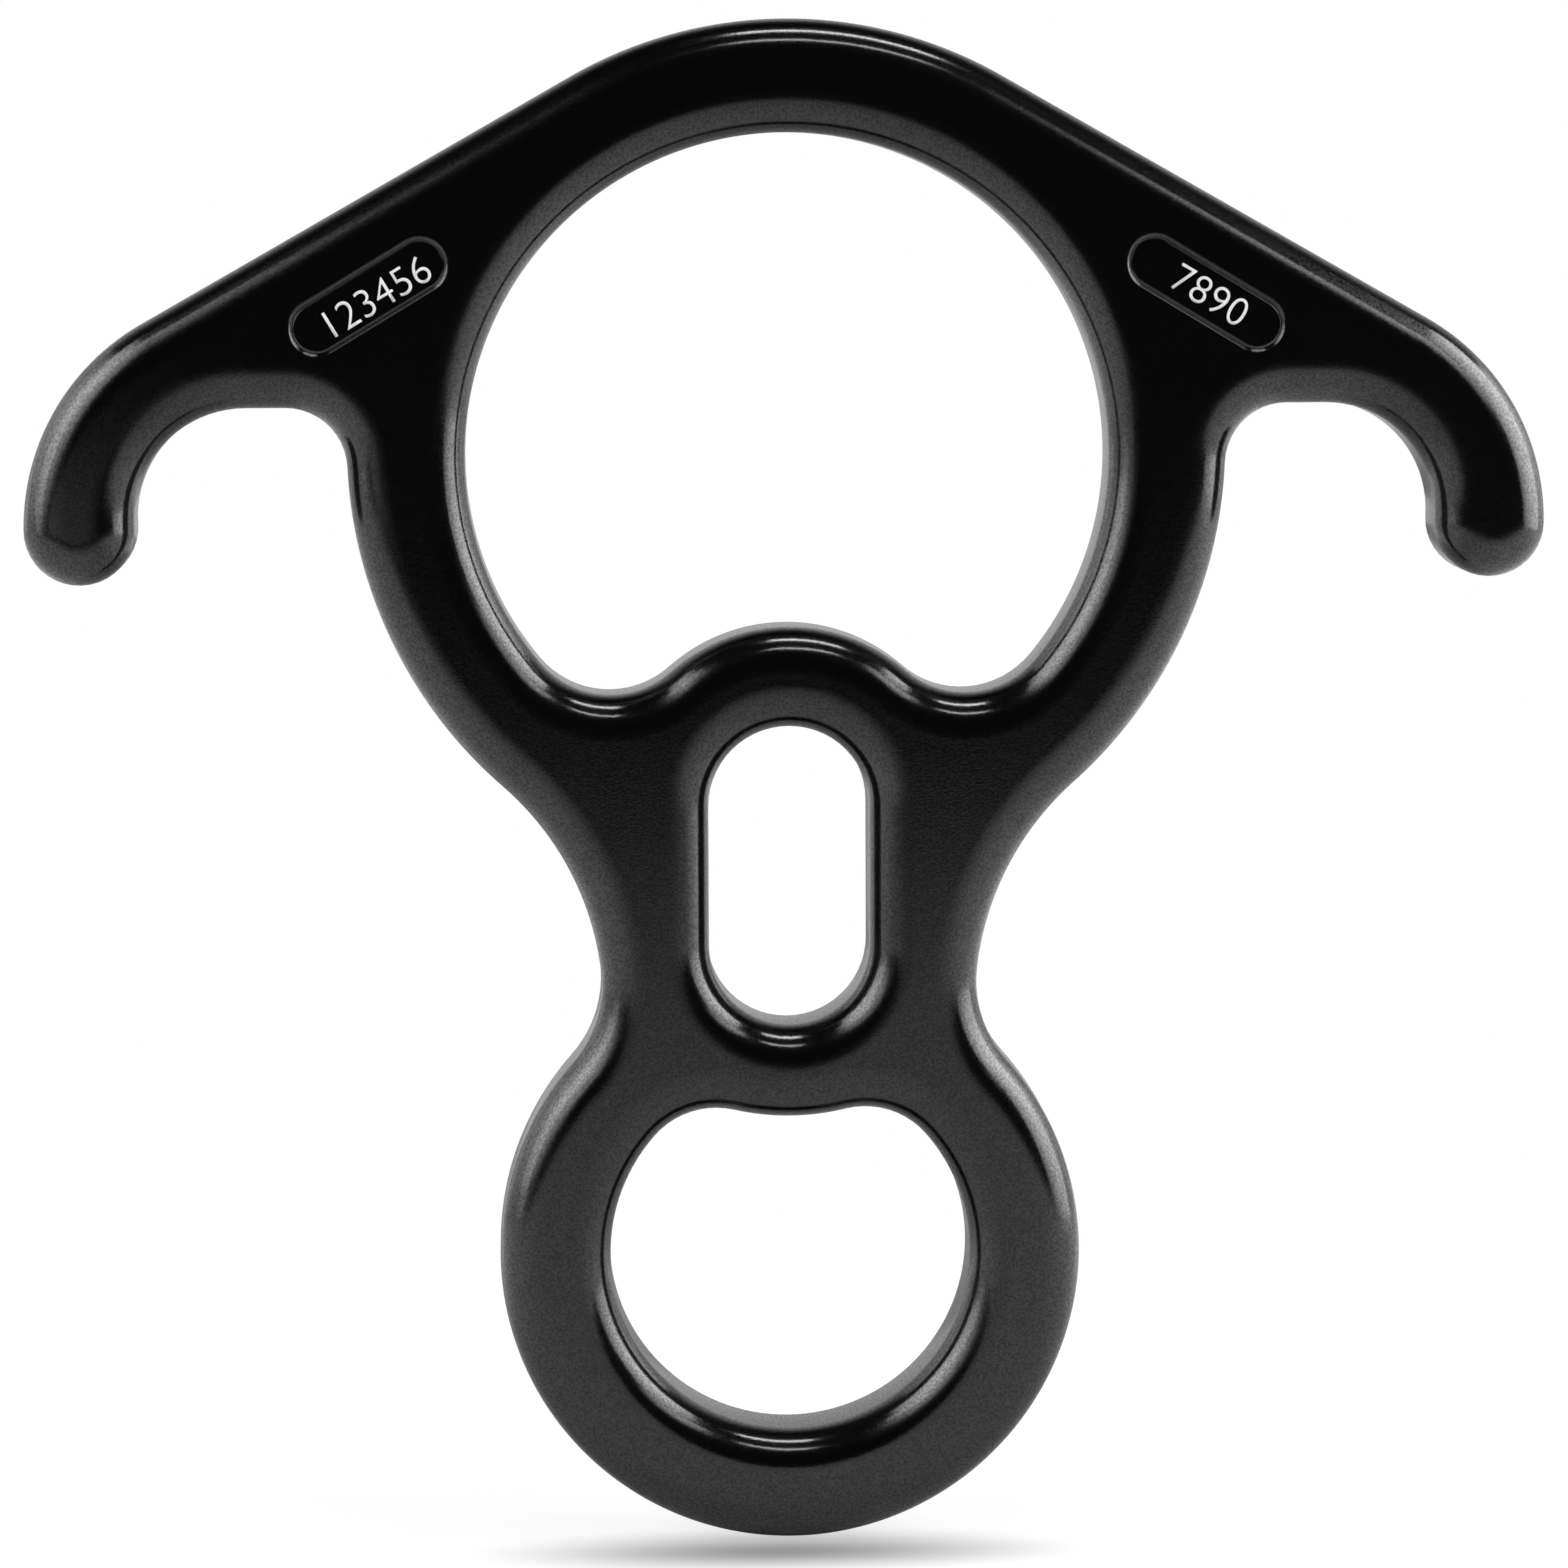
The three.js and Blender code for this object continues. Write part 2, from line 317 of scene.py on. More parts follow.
# Carabiner eye: a round hole with a flattened crown between two corners.
crown_centre = place(0, eye_crown_z + EYE_CROWN_RADIUS)
eye_corner = crossing(
    eye_centre, EYE_BORE_RADIUS - EYE_CORNER_RADIUS,
    crown_centre, EYE_CROWN_RADIUS + EYE_CORNER_RADIUS, side=-1,
)
next_edge()
start_profile(eye_crown_z, inward=1)
sweep(crown_centre, EYE_CROWN_RADIUS, -UP, bearing(crown_centre, eye_corner), clockwise=False)
sweep(eye_corner, EYE_CORNER_RADIUS, bearing(eye_corner, crown_centre),
      bearing(eye_centre, eye_corner), clockwise=True)
sweep(eye_centre, EYE_BORE_RADIUS, bearing(eye_centre, eye_corner), -UP, clockwise=True)

bpy.ops.object.mode_set(mode="OBJECT")
mirror = body.modifiers.new("left half and back", "MIRROR")
mirror.use_axis = (True, True, False)
mirror.merge_threshold = MERGE_DISTANCE
bpy.ops.object.modifier_apply(modifier=mirror.name)


def select_open_edges(wanted):
    """Selects the edges that still lack a face, where their first vertex is wanted."""
    bpy.ops.mesh.select_all(action="DESELECT")
    bpy.ops.mesh.select_mode(type="EDGE")
    mesh = bmesh.from_edit_mesh(bpy.context.object.data)
    for edge in mesh.edges:
        open_edge = edge.is_boundary or edge.is_wire
        edge.select_set(open_edge and wanted(edge.verts[0].co))
    bmesh.update_edit_mesh(bpy.context.object.data)


# The plain face at the back is flat all over.
bpy.ops.object.mode_set(mode="EDIT")
select_open_edges(lambda point: point.y > 0)
bpy.ops.mesh.fill()

# Marking pads. A pill-shaped hollow is pressed into the marked face along each shoulder. It
# has a soft lip, a short step down and a fine groove round its flat floor. Each stage of its
# edge is a width inwards and a drop into the metal.
PAD_LENGTH = 17.6 * MM
PAD_WIDTH = 5.9 * MM
PAD_BELOW_SHOULDER = 8.7 * MM
PAD_FROM_CENTRELINE = 40.7 * MM
PAD_SLOPE = radians(31)
PAD_END_VERTICES = 66
PAD_EDGE = [
    (FLAT_RIM, 0),
    (0.13 * MM, 0.01 * MM),
    (0.1 * MM, 0.02 * MM),
    (0.1 * MM, 0.05 * MM),
    (0.08 * MM, 0.07 * MM),
    (0.05 * MM, 0.1 * MM),
    (0.05 * MM, 0.05 * MM),
    (0.08 * MM, 0.01 * MM),
    (0.06 * MM, -0.02 * MM),
    (0.06 * MM, -0.03 * MM),
    (0.1 * MM, -0.01 * MM),
    (FLAT_RIM, 0),
]
face_y = -PLATE_THICKNESS / 2
shoulder_z = ring_z + (
    rope_outer - PAD_FROM_CENTRELINE * sin(SHOULDER_SLOPE)
) / cos(SHOULDER_SLOPE)
pad_z = shoulder_z - PAD_BELOW_SHOULDER / cos(SHOULDER_SLOPE)
pad_floor_y = face_y + sum(drop for width, drop in PAD_EDGE)


def along_pad(side):
    """The way along a pad, to the right; side is +1 at the right and -1 at the left."""
    return Vector((cos(PAD_SLOPE), 0, -side * sin(PAD_SLOPE)))


def add_pill(side):
    """Adds the outline of the pad at this side, with its flat rim."""
    middle = Vector((side * PAD_FROM_CENTRELINE, face_y, pad_z))
    along = along_pad(side)
    half_straight = (PAD_LENGTH - PAD_WIDTH) / 2
    bpy.ops.mesh.select_all(action="DESELECT")
    bpy.ops.mesh.primitive_circle_add(
        vertices=2 * PAD_END_VERTICES,
        radius=PAD_WIDTH / 2 + FLAT_RIM,
        fill_type="NOTHING",
        location=middle,
        rotation=(pi / 2, side * PAD_SLOPE, 0),
    )
    mesh = bmesh.from_edit_mesh(bpy.context.object.data)
    circle = [vertex for vertex in mesh.verts if vertex.select]
    for vertex in circle:
        end = 1 if (vertex.co - middle).dot(along) > 0 else -1
        vertex.co += along * end * half_straight
    bmesh.update_edit_mesh(bpy.context.object.data)


for side in (-1, 1):
    add_pill(side)
select_open_edges(lambda point: point.y < 0)
bpy.ops.mesh.fill()
for side in (-1, 1):
    select_open_edges(lambda point: point.x * side > 0)
    bpy.ops.mesh.edge_face_add()
    for width, drop in PAD_EDGE:
        bpy.ops.mesh.inset(thickness=width, depth=0)
        bpy.ops.transform.translate(value=(0, drop, 0))
bpy.ops.mesh.select_all(action="SELECT")
bpy.ops.mesh.normals_make_consistent(inside=False)
bpy.ops.object.mode_set(mode="OBJECT")
bpy.ops.object.shade_smooth()

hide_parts("forged_body")
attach(body, "root")


# Anodised finish. The dyed oxide skin is near black, without metallic lustre, and shines like
# glass. The tumbled metal under it keeps faint waves and a fine grain, and a second, softer
# shine comes and goes with that grain.
BODY_BLACK = (0.0013, 0.0013, 0.0014, 1)
BODY_BLACK_THIN = (0.0023, 0.0022, 0.0022, 1)
GRAIN_SIZE = 0.23 * MM
GRAIN_DEPTH = 0.0055 * MM
WAVE_SIZE = 9 * MM
WAVE_DEPTH = 0.012 * MM
PATCH_SIZE = 14 * MM
NOISE_DETAIL = {"Grain": 2, "Waves": 1, "Patches": 3}
SATIN_ROUGHNESS = (0.105, 0.135)
SKIN_IOR = 1.54
GRAIN_RANGE_SHARES = (0.38, 0.62)
GRAIN_SHINE_SHARES = (0, 0.84)
GRAIN_SHINE_ROUGHNESS = 0.2


def surface_group():
    """A node group of height patterns, given their sizes: fine grain, waves and patches."""
    group = bpy.data.node_groups.new("tumbled_surface", "ShaderNodeTree")
    coordinates = group.nodes.new("ShaderNodeTexCoord")
    sizes_in = group.nodes.new("NodeGroupInput")
    heights_out = group.nodes.new("NodeGroupOutput")
    for name, detail in NOISE_DETAIL.items():
        size = group.interface.new_socket(
            f"{name} size", in_out="INPUT", socket_type="NodeSocketFloat"
        )
        size.default_value = MM
        group.interface.new_socket(name, in_out="OUTPUT", socket_type="NodeSocketFloat")
        per_size = group.nodes.new("ShaderNodeMath")
        per_size.operation = "DIVIDE"
        per_size.inputs[0].default_value = 1
        noise = group.nodes.new("ShaderNodeTexNoise")
        noise.inputs["Detail"].default_value = detail
        group.links.new(sizes_in.outputs[f"{name} size"], per_size.inputs[1])
        group.links.new(coordinates.outputs["Object"], noise.inputs["Vector"])
        group.links.new(per_size.outputs["Value"], noise.inputs["Scale"])
        group.links.new(noise.outputs["Fac"], heights_out.inputs[name])
    return group


def start_material(name, roughness, colours, wave_depth):
    """A material whose colour and roughness follow the patches, and whose normal follows
    the waves and the grain."""
    material = bpy.data.materials.new(name)
    material.use_nodes = True
    nodes = material.node_tree.nodes
    links = material.node_tree.links
    shader = nodes["Principled BSDF"]
    surface = nodes.new("ShaderNodeGroup")
    surface.node_tree = tumbled_surface
    surface.inputs["Grain size"].default_value = GRAIN_SIZE
    surface.inputs["Waves size"].default_value = WAVE_SIZE
    surface.inputs["Patches size"].default_value = PATCH_SIZE

    colour = nodes.new("ShaderNodeMix")
    colour.data_type = "RGBA"
    colour.inputs["A"].default_value = colours[0]
    colour.inputs["B"].default_value = colours[1]
    links.new(surface.outputs["Patches"], colour.inputs["Factor"])
    links.new(colour.outputs["Result"], shader.inputs["Base Color"])

    spread = nodes.new("ShaderNodeMapRange")
    spread.inputs["To Min"].default_value = roughness[0]
    spread.inputs["To Max"].default_value = roughness[1]
    links.new(surface.outputs["Patches"], spread.inputs["Value"])
    links.new(spread.outputs["Result"], shader.inputs["Roughness"])

    waves = nodes.new("ShaderNodeBump")
    waves.inputs["Distance"].default_value = wave_depth
    grain = nodes.new("ShaderNodeBump")
    grain.inputs["Distance"].default_value = GRAIN_DEPTH
    links.new(surface.outputs["Waves"], waves.inputs["Height"])
    links.new(surface.outputs["Grain"], grain.inputs["Height"])
    links.new(waves.outputs["Normal"], grain.inputs["Normal"])
    links.new(grain.outputs["Normal"], shader.inputs["Normal"])
    return material


tumbled_surface = surface_group()
anodised = start_material(
    "black_anodised", SATIN_ROUGHNESS, (BODY_BLACK, BODY_BLACK_THIN), WAVE_DEPTH
)
skin = anodised.node_tree.nodes["Principled BSDF"]
skin.inputs["IOR"].default_value = SKIN_IOR
skin.inputs["Coat Roughness"].default_value = GRAIN_SHINE_ROUGHNESS
grain_shine = anodised.node_tree.nodes.new("ShaderNodeMapRange")
grain_shine.inputs["From Min"].default_value = GRAIN_RANGE_SHARES[0]
grain_shine.inputs["From Max"].default_value = GRAIN_RANGE_SHARES[1]
grain_shine.inputs["To Min"].default_value = GRAIN_SHINE_SHARES[0]
grain_shine.inputs["To Max"].default_value = GRAIN_SHINE_SHARES[1]
surface = anodised.node_tree.nodes["Group"]
anodised.node_tree.links.new(surface.outputs["Grain"], grain_shine.inputs["Value"])
anodised.node_tree.links.new(grain_shine.outputs["Result"], skin.inputs["Coat Weight"])
body.data.materials.append(anodised)


# Numbers. White print on the floor of each marking pad: plain figures in a row, along the
# pad. The print is a thin film with a dull, slightly uneven face.
NUMBERS = {-1: "123456", 1: "7890"}
FIGURE_SPACING_SHARES = {-1: 1, 1: 1.02}
STROKE_OFFSET_SHARE = -0.012
FIGURE_HEIGHT = 2.75 * MM
PRINT_HEIGHT = 0.02 * MM
PRINT_WHITE = (0.82, 0.82, 0.82, 1)
PRINT_WHITE_WORN = (0.74, 0.74, 0.74, 1)
PRINT_ROUGHNESS = (0.45, 0.6)
PRINT_DROP = {-1: 0.5 * MM, 1: 0.1 * MM}
PRINT_SHIFT = {-1: 0.55 * MM, 1: 0.4 * MM}

print_white = start_material(
    "white_print", PRINT_ROUGHNESS, (PRINT_WHITE_WORN, PRINT_WHITE), wave_depth=0
)
for side, name in ((-1, "left_numbers"), (1, "right_numbers")):
    bpy.ops.object.select_all(action="DESELECT")
    bpy.ops.object.text_add()
    numbers = bpy.context.object
    numbers.name = name
    numbers.data.body = NUMBERS[side]
    numbers.data.space_character = FIGURE_SPACING_SHARES[side]
    numbers.data.offset = STROKE_OFFSET_SHARE
    numbers.data.align_x = "CENTER"
    numbers.data.align_y = "CENTER"
    bpy.ops.object.convert(target="MESH")
    numbers = bpy.context.object
    upward = Vector((side * sin(PAD_SLOPE), 0, cos(PAD_SLOPE)))
    middle = Vector((side * PAD_FROM_CENTRELINE, pad_floor_y - PRINT_HEIGHT, pad_z))
    numbers.location = (
        middle + along_pad(side) * PRINT_SHIFT[side] - upward * PRINT_DROP[side]
    )
    numbers.rotation_euler = (pi / 2, side * PAD_SLOPE, 0)
    numbers.scale = Vector((1, 1, 1)) * FIGURE_HEIGHT / numbers.dimensions.y
    bpy.ops.object.transform_apply()
    bpy.ops.object.mode_set(mode="EDIT")
    bpy.ops.mesh.select_all(action="SELECT")
    extrude_by(Vector((0, PRINT_HEIGHT, 0)))
    bpy.ops.mesh.select_all(action="SELECT")
    bpy.ops.mesh.normals_make_consistent(inside=False)
    bpy.ops.object.mode_set(mode="OBJECT")
    numbers.data.materials.append(print_white)
    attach(numbers, "root")


# Floor. A white sheet. To reflections its colour holds painted light and shade: it is brightest
# beside the piece with a painted glow, it lies in painted shade behind the piece, and its
# painted light fades towards the camera, so that the upper half of the marked face mirrors a
# dark room. To the camera it is white but for the soft shadow under the eye ring. That shadow
# is partly the lamps' real shadow and partly a painted shadow.
FLOOR_FRONT = 900 * MM
FLOOR_BACK = 1200 * MM
FLOOR_SIDE = 900 * MM
# Painted light: the floor's colour in reflections, set by distance along the floor and darker
# towards the camera, in place of light that fades there.
FLOOR_LIGHT = {
    -720 * MM: 0.005,
    -470 * MM: 0.3,
    -400 * MM: 0.35,
    -200 * MM: 0.44,
    -40 * MM: 0.52,
    20 * MM: 0.6,
    250 * MM: 0.5,
}
PIECE_FOOT = (0, 0)
# Painted shade: an oval behind the piece where the floor's colour in reflections is darkened.
SHADE_CENTRE = (0, 250 * MM)
SHADE_HALF_SIZE = (150 * MM, 300 * MM)
SHADE_WHITE = (0.3, 0.3, 0.3, 1)
SHADE_EDGE_SHARES = (0.65, 1)
# Painted light: beside the piece the floor glows in reflections, though it is no lamp.
SIDE_GLOW_START = 0
SIDE_GLOW_END = 150 * MM
SIDE_GLOW_SHARE = 0.7
# Painted shadow: a darker oval on the floor in front of the eye ring's foot, laid over the real
# shadow.
SHADOW_CENTRE = (-1.2 * MM, -9.9 * MM)
SHADOW_HALF_SIZE = (37 * MM, 11.4 * MM)
SHADOW_DEPTH_SHARE = 0.7
SEEN_GLOW_SHARE = 0.83
SEEN_WHITE = (0.21, 0.21, 0.21, 1)
WHITE_START = 90 * MM
WHITE_END = 160 * MM

floor_z = cad_box[0][2]

bpy.ops.object.select_all(action="DESELECT")
bpy.ops.mesh.primitive_plane_add(size=1)
floor = bpy.context.object
floor.name = "white_floor"
floor.scale = (2 * FLOOR_SIDE, FLOOR_FRONT + FLOOR_BACK, 1)
floor.location = (0, (FLOOR_BACK - FLOOR_FRONT) / 2, floor_z)
bpy.ops.object.transform_apply()
sheet = bpy.data.materials.new("white_sheet")
sheet.use_nodes = True
nodes = sheet.node_tree.nodes
links = sheet.node_tree.links
nodes.clear()


def soft_step(nodes, links, source, start, end):
    """A mask that climbs smoothly from 0 at the start to 1 at the end."""
    ramp = nodes.new("ShaderNodeMapRange")
    ramp.interpolation_type = "SMOOTHSTEP"
    ramp.inputs["From Min"].default_value = start
    ramp.inputs["From Max"].default_value = end
    links.new(source, ramp.inputs["Value"])
    return ramp.outputs["Result"]


def oval_distance(nodes, links, position, centre, half_size):
    """The distance from a place on the floor, 1 at the rim of an oval of this half size. With
    a half size of 1 and 1 it is the plain distance in metres."""
    from_centre = nodes.new("ShaderNodeVectorMath")
    from_centre.operation = "SUBTRACT"
    from_centre.inputs[1].default_value = (*centre, floor_z)
    links.new(position, from_centre.inputs[0])
    by_size = nodes.new("ShaderNodeVectorMath")
    by_size.operation = "DIVIDE"
    by_size.inputs[1].default_value = (*half_size, 1)
    links.new(from_centre.outputs["Vector"], by_size.inputs[0])
    distance = nodes.new("ShaderNodeVectorMath")
    distance.operation = "LENGTH"
    links.new(by_size.outputs["Vector"], distance.inputs[0])
    return distance.outputs["Value"]


position = nodes.new("ShaderNodeTexCoord").outputs["Object"]
split = nodes.new("ShaderNodeSeparateXYZ")
links.new(position, split.inputs["Vector"])
# Painted light: the colour ramp along the floor stands in for the fading light.
along_floor = nodes.new("ShaderNodeMapRange")
along_floor.inputs["From Min"].default_value = min(FLOOR_LIGHT)
along_floor.inputs["From Max"].default_value = max(FLOOR_LIGHT)
links.new(split.outputs["Y"], along_floor.inputs["Value"])
fade = nodes.new("ShaderNodeValToRGB")
stops = fade.color_ramp.elements
stops.remove(stops[1])
for distance, light in FLOOR_LIGHT.items():
    share = (distance - min(FLOOR_LIGHT)) / (max(FLOOR_LIGHT) - min(FLOOR_LIGHT))
    stop = stops.new(share) if share > 0 else stops[0]
    stop.color = (light, light, light, 1)
links.new(along_floor.outputs["Result"], fade.inputs["Fac"])
# Painted shade behind the piece darkens the colour that reflections see.
shade = nodes.new("ShaderNodeMix")
shade.data_type = "RGBA"
shade.inputs["A"].default_value = SHADE_WHITE
from_shade = oval_distance(nodes, links, position, SHADE_CENTRE, SHADE_HALF_SIZE)
links.new(
    soft_step(nodes, links, from_shade, *SHADE_EDGE_SHARES), shade.inputs["Factor"]
)
links.new(fade.outputs["Color"], shade.inputs["B"])
mirrored_colour = shade.outputs["Result"]
mirrored_diffuse = nodes.new("ShaderNodeBsdfDiffuse")
links.new(mirrored_colour, mirrored_diffuse.inputs["Color"])
# Painted glow: the floor's own light beside the piece is added to what reflections see.
aside = nodes.new("ShaderNodeMath")
aside.operation = "ABSOLUTE"
links.new(split.outputs["X"], aside.inputs[0])
side_glow = nodes.new("ShaderNodeMath")
side_glow.operation = "MULTIPLY"
side_glow.inputs[1].default_value = SIDE_GLOW_SHARE
links.new(
    soft_step(nodes, links, aside.outputs["Value"], SIDE_GLOW_START, SIDE_GLOW_END),
    side_glow.inputs[0],
)
mirrored_glow = nodes.new("ShaderNodeEmission")
links.new(mirrored_colour, mirrored_glow.inputs["Color"])
links.new(side_glow.outputs["Value"], mirrored_glow.inputs["Strength"])
mirrored_sheet = nodes.new("ShaderNodeAddShader")
links.new(mirrored_diffuse.outputs["BSDF"], mirrored_sheet.inputs[0])
links.new(mirrored_glow.outputs["Emission"], mirrored_sheet.inputs[1])

white_light = nodes.new("ShaderNodeEmission")
seen_glow = nodes.new("ShaderNodeEmission")
seen_glow.inputs["Strength"].default_value = SEEN_GLOW_SHARE
seen_diffuse = nodes.new("ShaderNodeBsdfDiffuse")
seen_diffuse.inputs["Color"].default_value = SEEN_WHITE
near_piece = nodes.new("ShaderNodeAddShader")
links.new(seen_glow.outputs["Emission"], near_piece.inputs[0])
links.new(seen_diffuse.outputs["BSDF"], near_piece.inputs[1])
# Painted shadow under the eye ring: this oval darkens the sheet that the camera sees.
under_ring = nodes.new("ShaderNodeMapRange")
under_ring.interpolation_type = "SMOOTHSTEP"
under_ring.inputs["To Min"].default_value = SHADOW_DEPTH_SHARE
under_ring.inputs["To Max"].default_value = 0
from_shadow = oval_distance(nodes, links, position, SHADOW_CENTRE, SHADOW_HALF_SIZE)
links.new(from_shadow, under_ring.inputs["Value"])
no_light = nodes.new("ShaderNodeEmission")
no_light.inputs["Strength"].default_value = 0
shadowed = nodes.new("ShaderNodeMixShader")
links.new(under_ring.outputs["Result"], shadowed.inputs["Fac"])
links.new(near_piece.outputs["Shader"], shadowed.inputs[1])
links.new(no_light.outputs["Emission"], shadowed.inputs[2])
from_piece = oval_distance(nodes, links, position, PIECE_FOOT, (1, 1))
seen_sheet = nodes.new("ShaderNodeMixShader")
links.new(
    soft_step(nodes, links, from_piece, WHITE_START, WHITE_END), seen_sheet.inputs["Fac"]
)
links.new(shadowed.outputs["Shader"], seen_sheet.inputs[1])
links.new(white_light.outputs["Emission"], seen_sheet.inputs[2])

light_path = nodes.new("ShaderNodeLightPath")
by_ray = nodes.new("ShaderNodeMixShader")
output = nodes.new("ShaderNodeOutputMaterial")
links.new(light_path.outputs["Is Camera Ray"], by_ray.inputs["Fac"])
links.new(mirrored_sheet.outputs["Shader"], by_ray.inputs[1])
links.new(seen_sheet.outputs["Shader"], by_ray.inputs[2])
links.new(by_ray.outputs["Shader"], output.inputs["Surface"])
floor.data.materials.append(sheet)


# Room. White to the camera. To reflections it is dark but for a pale backdrop behind the
# piece, whose mask goes by how much of a direction points up and how much of it points back.
BACKDROP_TOP_SHARES = (sin(radians(70)), sin(radians(32)))
BACKDROP_FRONT_SHARES = (0.1, 0.8)
BACKDROP_BRIGHTNESS = 0.55
ROOM_WHITE = (1, 1, 1, 1)

world = bpy.data.worlds.new("dark_room")
bpy.context.scene.world = world
world.use_nodes = True
nodes = world.node_tree.nodes
links = world.node_tree.links
nodes.clear()
direction = nodes.new("ShaderNodeTexCoord")
split = nodes.new("ShaderNodeSeparateXYZ")
links.new(direction.outputs["Generated"], split.inputs["Vector"])
below_top = soft_step(nodes, links, split.outputs["Z"], *BACKDROP_TOP_SHARES)
behind = soft_step(nodes, links, split.outputs["Y"], *BACKDROP_FRONT_SHARES)
band = nodes.new("ShaderNodeMath")
band.operation = "MULTIPLY"
links.new(below_top, band.inputs[0])
links.new(behind, band.inputs[1])
backdrop = nodes.new("ShaderNodeMath")
backdrop.operation = "MULTIPLY"
backdrop.inputs[1].default_value = BACKDROP_BRIGHTNESS
links.new(band.outputs["Value"], backdrop.inputs[0])
light_path = nodes.new("ShaderNodeLightPath")
seen = nodes.new("ShaderNodeMath")
seen.operation = "MAXIMUM"
links.new(backdrop.outputs["Value"], seen.inputs[0])
links.new(light_path.outputs["Is Camera Ray"], seen.inputs[1])
background = nodes.new("ShaderNodeBackground")
background.inputs["Color"].default_value = ROOM_WHITE
output = nodes.new("ShaderNodeOutputWorld")
links.new(seen.outputs["Value"], background.inputs["Strength"])
links.new(background.outputs["Background"], output.inputs["Surface"])


# Lamps. Two strips overhead, the soft side walls of a light tent and a small pale card in
# front, all turned to the piece. A brightness says how many times brighter than white a lamp
# looks at its hot spot, and it falls to the rim's share of that over the fade.
RIGHT_WALL = 600 * MM
LEFT_WALL = -890 * MM
ROOF = 630 * MM
TENT_FOOT = -139 * MM
RIGHTWARD = Vector((1, 0, 0))
BACKWARD = Vector((0, 1, 0))
UPWARD = Vector((0, 0, 1))


def add_lamp(name, middle, sideways, upward, size, brightness, hot_spot, fade, rim_share):
    """A flat lamp in the plane of two directions, facing the origin's side."""
    bpy.ops.object.light_add(type="AREA")
    lamp = bpy.context.object
    lamp.name = name
    lamp.visible_camera = False
    lamp.data.shape = "RECTANGLE"
    lamp.data.size = size[0]
    lamp.data.size_y = size[1]
    lamp.data.energy = brightness * pi * size[0] * size[1]
    outward = sideways.cross(upward)
    if outward.dot(middle) < 0:
        sideways = -sideways
        outward = -outward
    turned = Matrix((sideways, upward, outward)).transposed().to_4x4()
    lamp.matrix_world = Matrix.Translation(middle) @ turned

    lamp.data.use_nodes = True
    nodes = lamp.data.node_tree.nodes
    links = lamp.data.node_tree.links
    place_on_lamp = nodes.new("ShaderNodeNewGeometry")
    from_hot_spot = nodes.new("ShaderNodeVectorMath")
    from_hot_spot.operation = "DISTANCE"
    from_hot_spot.inputs[1].default_value = hot_spot
    links.new(place_on_lamp.outputs["Position"], from_hot_spot.inputs[0])
    falloff = nodes.new("ShaderNodeMapRange")
    falloff.interpolation_type = "SMOOTHSTEP"
    falloff.inputs["From Max"].default_value = fade
    falloff.inputs["To Min"].default_value = 1
    falloff.inputs["To Max"].default_value = rim_share
    links.new(from_hot_spot.outputs["Value"], falloff.inputs["Value"])
    links.new(falloff.outputs["Result"], nodes["Emission"].inputs["Strength"])


def add_wall(name, aside, front, back, bottom, top, brightness, hot_spot, fade, rim_share):
    """An upright lamp along the tent's side, at its distance aside from the piece."""
    middle = Vector((aside, (front + back) / 2, (top + bottom) / 2))
    add_lamp(
        name, middle, BACKWARD, UPWARD, (back - front, top - bottom), brightness,
        hot_spot=(aside, *hot_spot), fade=fade, rim_share=rim_share,
    )


def add_strip(name, left, right, front, back, height, brightness):
    """A lamp of even brightness that lies flat overhead."""
    middle = Vector(((left + right) / 2, (front + back) / 2, height))
    add_lamp(
        name, middle, RIGHTWARD, BACKWARD, (right - left, back - front), brightness,
        hot_spot=middle, fade=right - left, rim_share=1,
    )


def add_front_card(name, left, right, bottom, top, in_front, brightness, hot_spot, fade):
    """An upright card in front of the piece, turned to it, that fades out to its rim."""
    middle = Vector(((left + right) / 2, in_front, (top + bottom) / 2))
    add_lamp(
        name, middle, RIGHTWARD, UPWARD, (right - left, top - bottom), brightness,
        hot_spot=(hot_spot[0], in_front, hot_spot[1]), fade=fade, rim_share=0,
    )


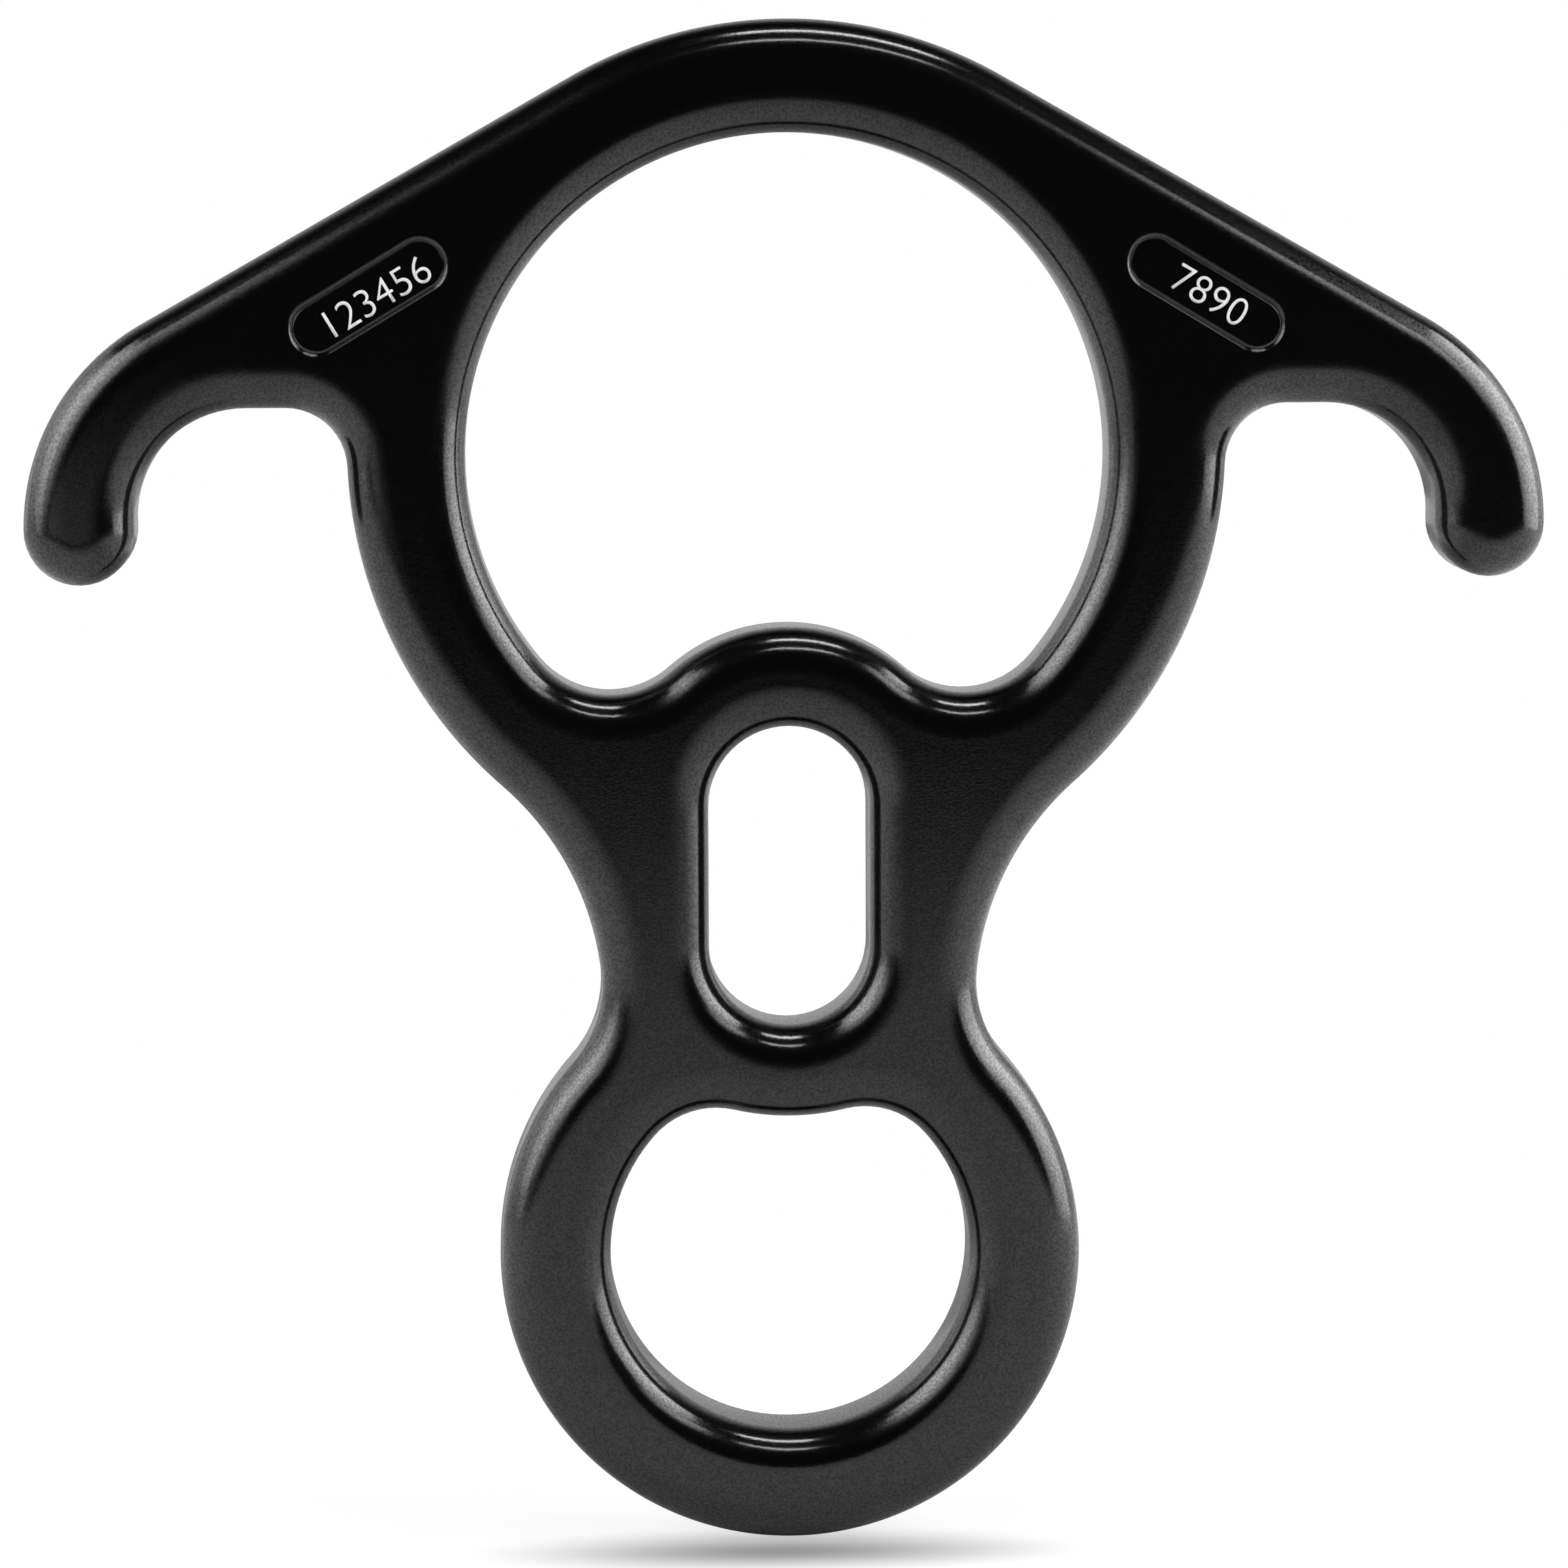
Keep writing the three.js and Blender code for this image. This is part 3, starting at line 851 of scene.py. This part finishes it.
add_wall(
    "right_wall", RIGHT_WALL, front=-550 * MM, back=140 * MM, bottom=TENT_FOOT, top=632 * MM,
    brightness=6.8, hot_spot=(-20 * MM, 290 * MM), fade=780 * MM, rim_share=0.08,
)
add_wall(
    "right_wall_behind", RIGHT_WALL, front=140 * MM, back=600 * MM,
    bottom=TENT_FOOT, top=350 * MM,
    brightness=4.3, hot_spot=(0, 240 * MM), fade=500 * MM, rim_share=0.12,
)
add_wall(
    "right_wall_in_front", RIGHT_WALL, front=-950 * MM, back=-550 * MM,
    bottom=180 * MM, top=800 * MM,
    brightness=4, hot_spot=(-550 * MM, 520 * MM), fade=500 * MM, rim_share=0.1,
)
add_wall(
    "left_wall", LEFT_WALL, front=-560 * MM, back=-30 * MM, bottom=-20 * MM, top=1120 * MM,
    brightness=5.2, hot_spot=(-420 * MM, 500 * MM), fade=950 * MM, rim_share=0.15,
)
add_wall(
    "left_wall_beyond", LEFT_WALL, front=-1000 * MM, back=-560 * MM,
    bottom=-20 * MM, top=1280 * MM,
    brightness=4.6, hot_spot=(-560 * MM, 680 * MM), fade=900 * MM, rim_share=0.15,
)
add_wall(
    "left_wall_foot", LEFT_WALL, front=-1000 * MM, back=-30 * MM,
    bottom=TENT_FOOT, top=-20 * MM,
    brightness=2, hot_spot=(-350 * MM, 100 * MM), fade=500 * MM, rim_share=0.15,
)
add_wall(
    "left_wall_in_front", LEFT_WALL, front=-2100 * MM, back=-1000 * MM,
    bottom=TENT_FOOT, top=1550 * MM,
    brightness=2.4, hot_spot=(-1000 * MM, 700 * MM), fade=900 * MM, rim_share=0.04,
)
add_wall(
    "left_wall_behind", LEFT_WALL, front=-30 * MM, back=1000 * MM,
    bottom=TENT_FOOT, top=850 * MM,
    brightness=2.5, hot_spot=(0, 430 * MM), fade=700 * MM, rim_share=0.2,
)
add_strip(
    "roof_strip_above", left=-60 * MM, right=295 * MM, front=-130 * MM, back=-44 * MM,
    height=ROOF, brightness=10.5,
)
add_strip(
    "roof_strip_in_front", left=-55 * MM, right=290 * MM, front=-592 * MM, back=-504 * MM,
    height=ROOF, brightness=7.5,
)
add_front_card(
    "pale_card", left=-160 * MM, right=-50 * MM, bottom=-52 * MM, top=-26 * MM,
    in_front=-140 * MM, brightness=3.3, hot_spot=(-119 * MM, -136 * MM), fade=120 * MM,
)
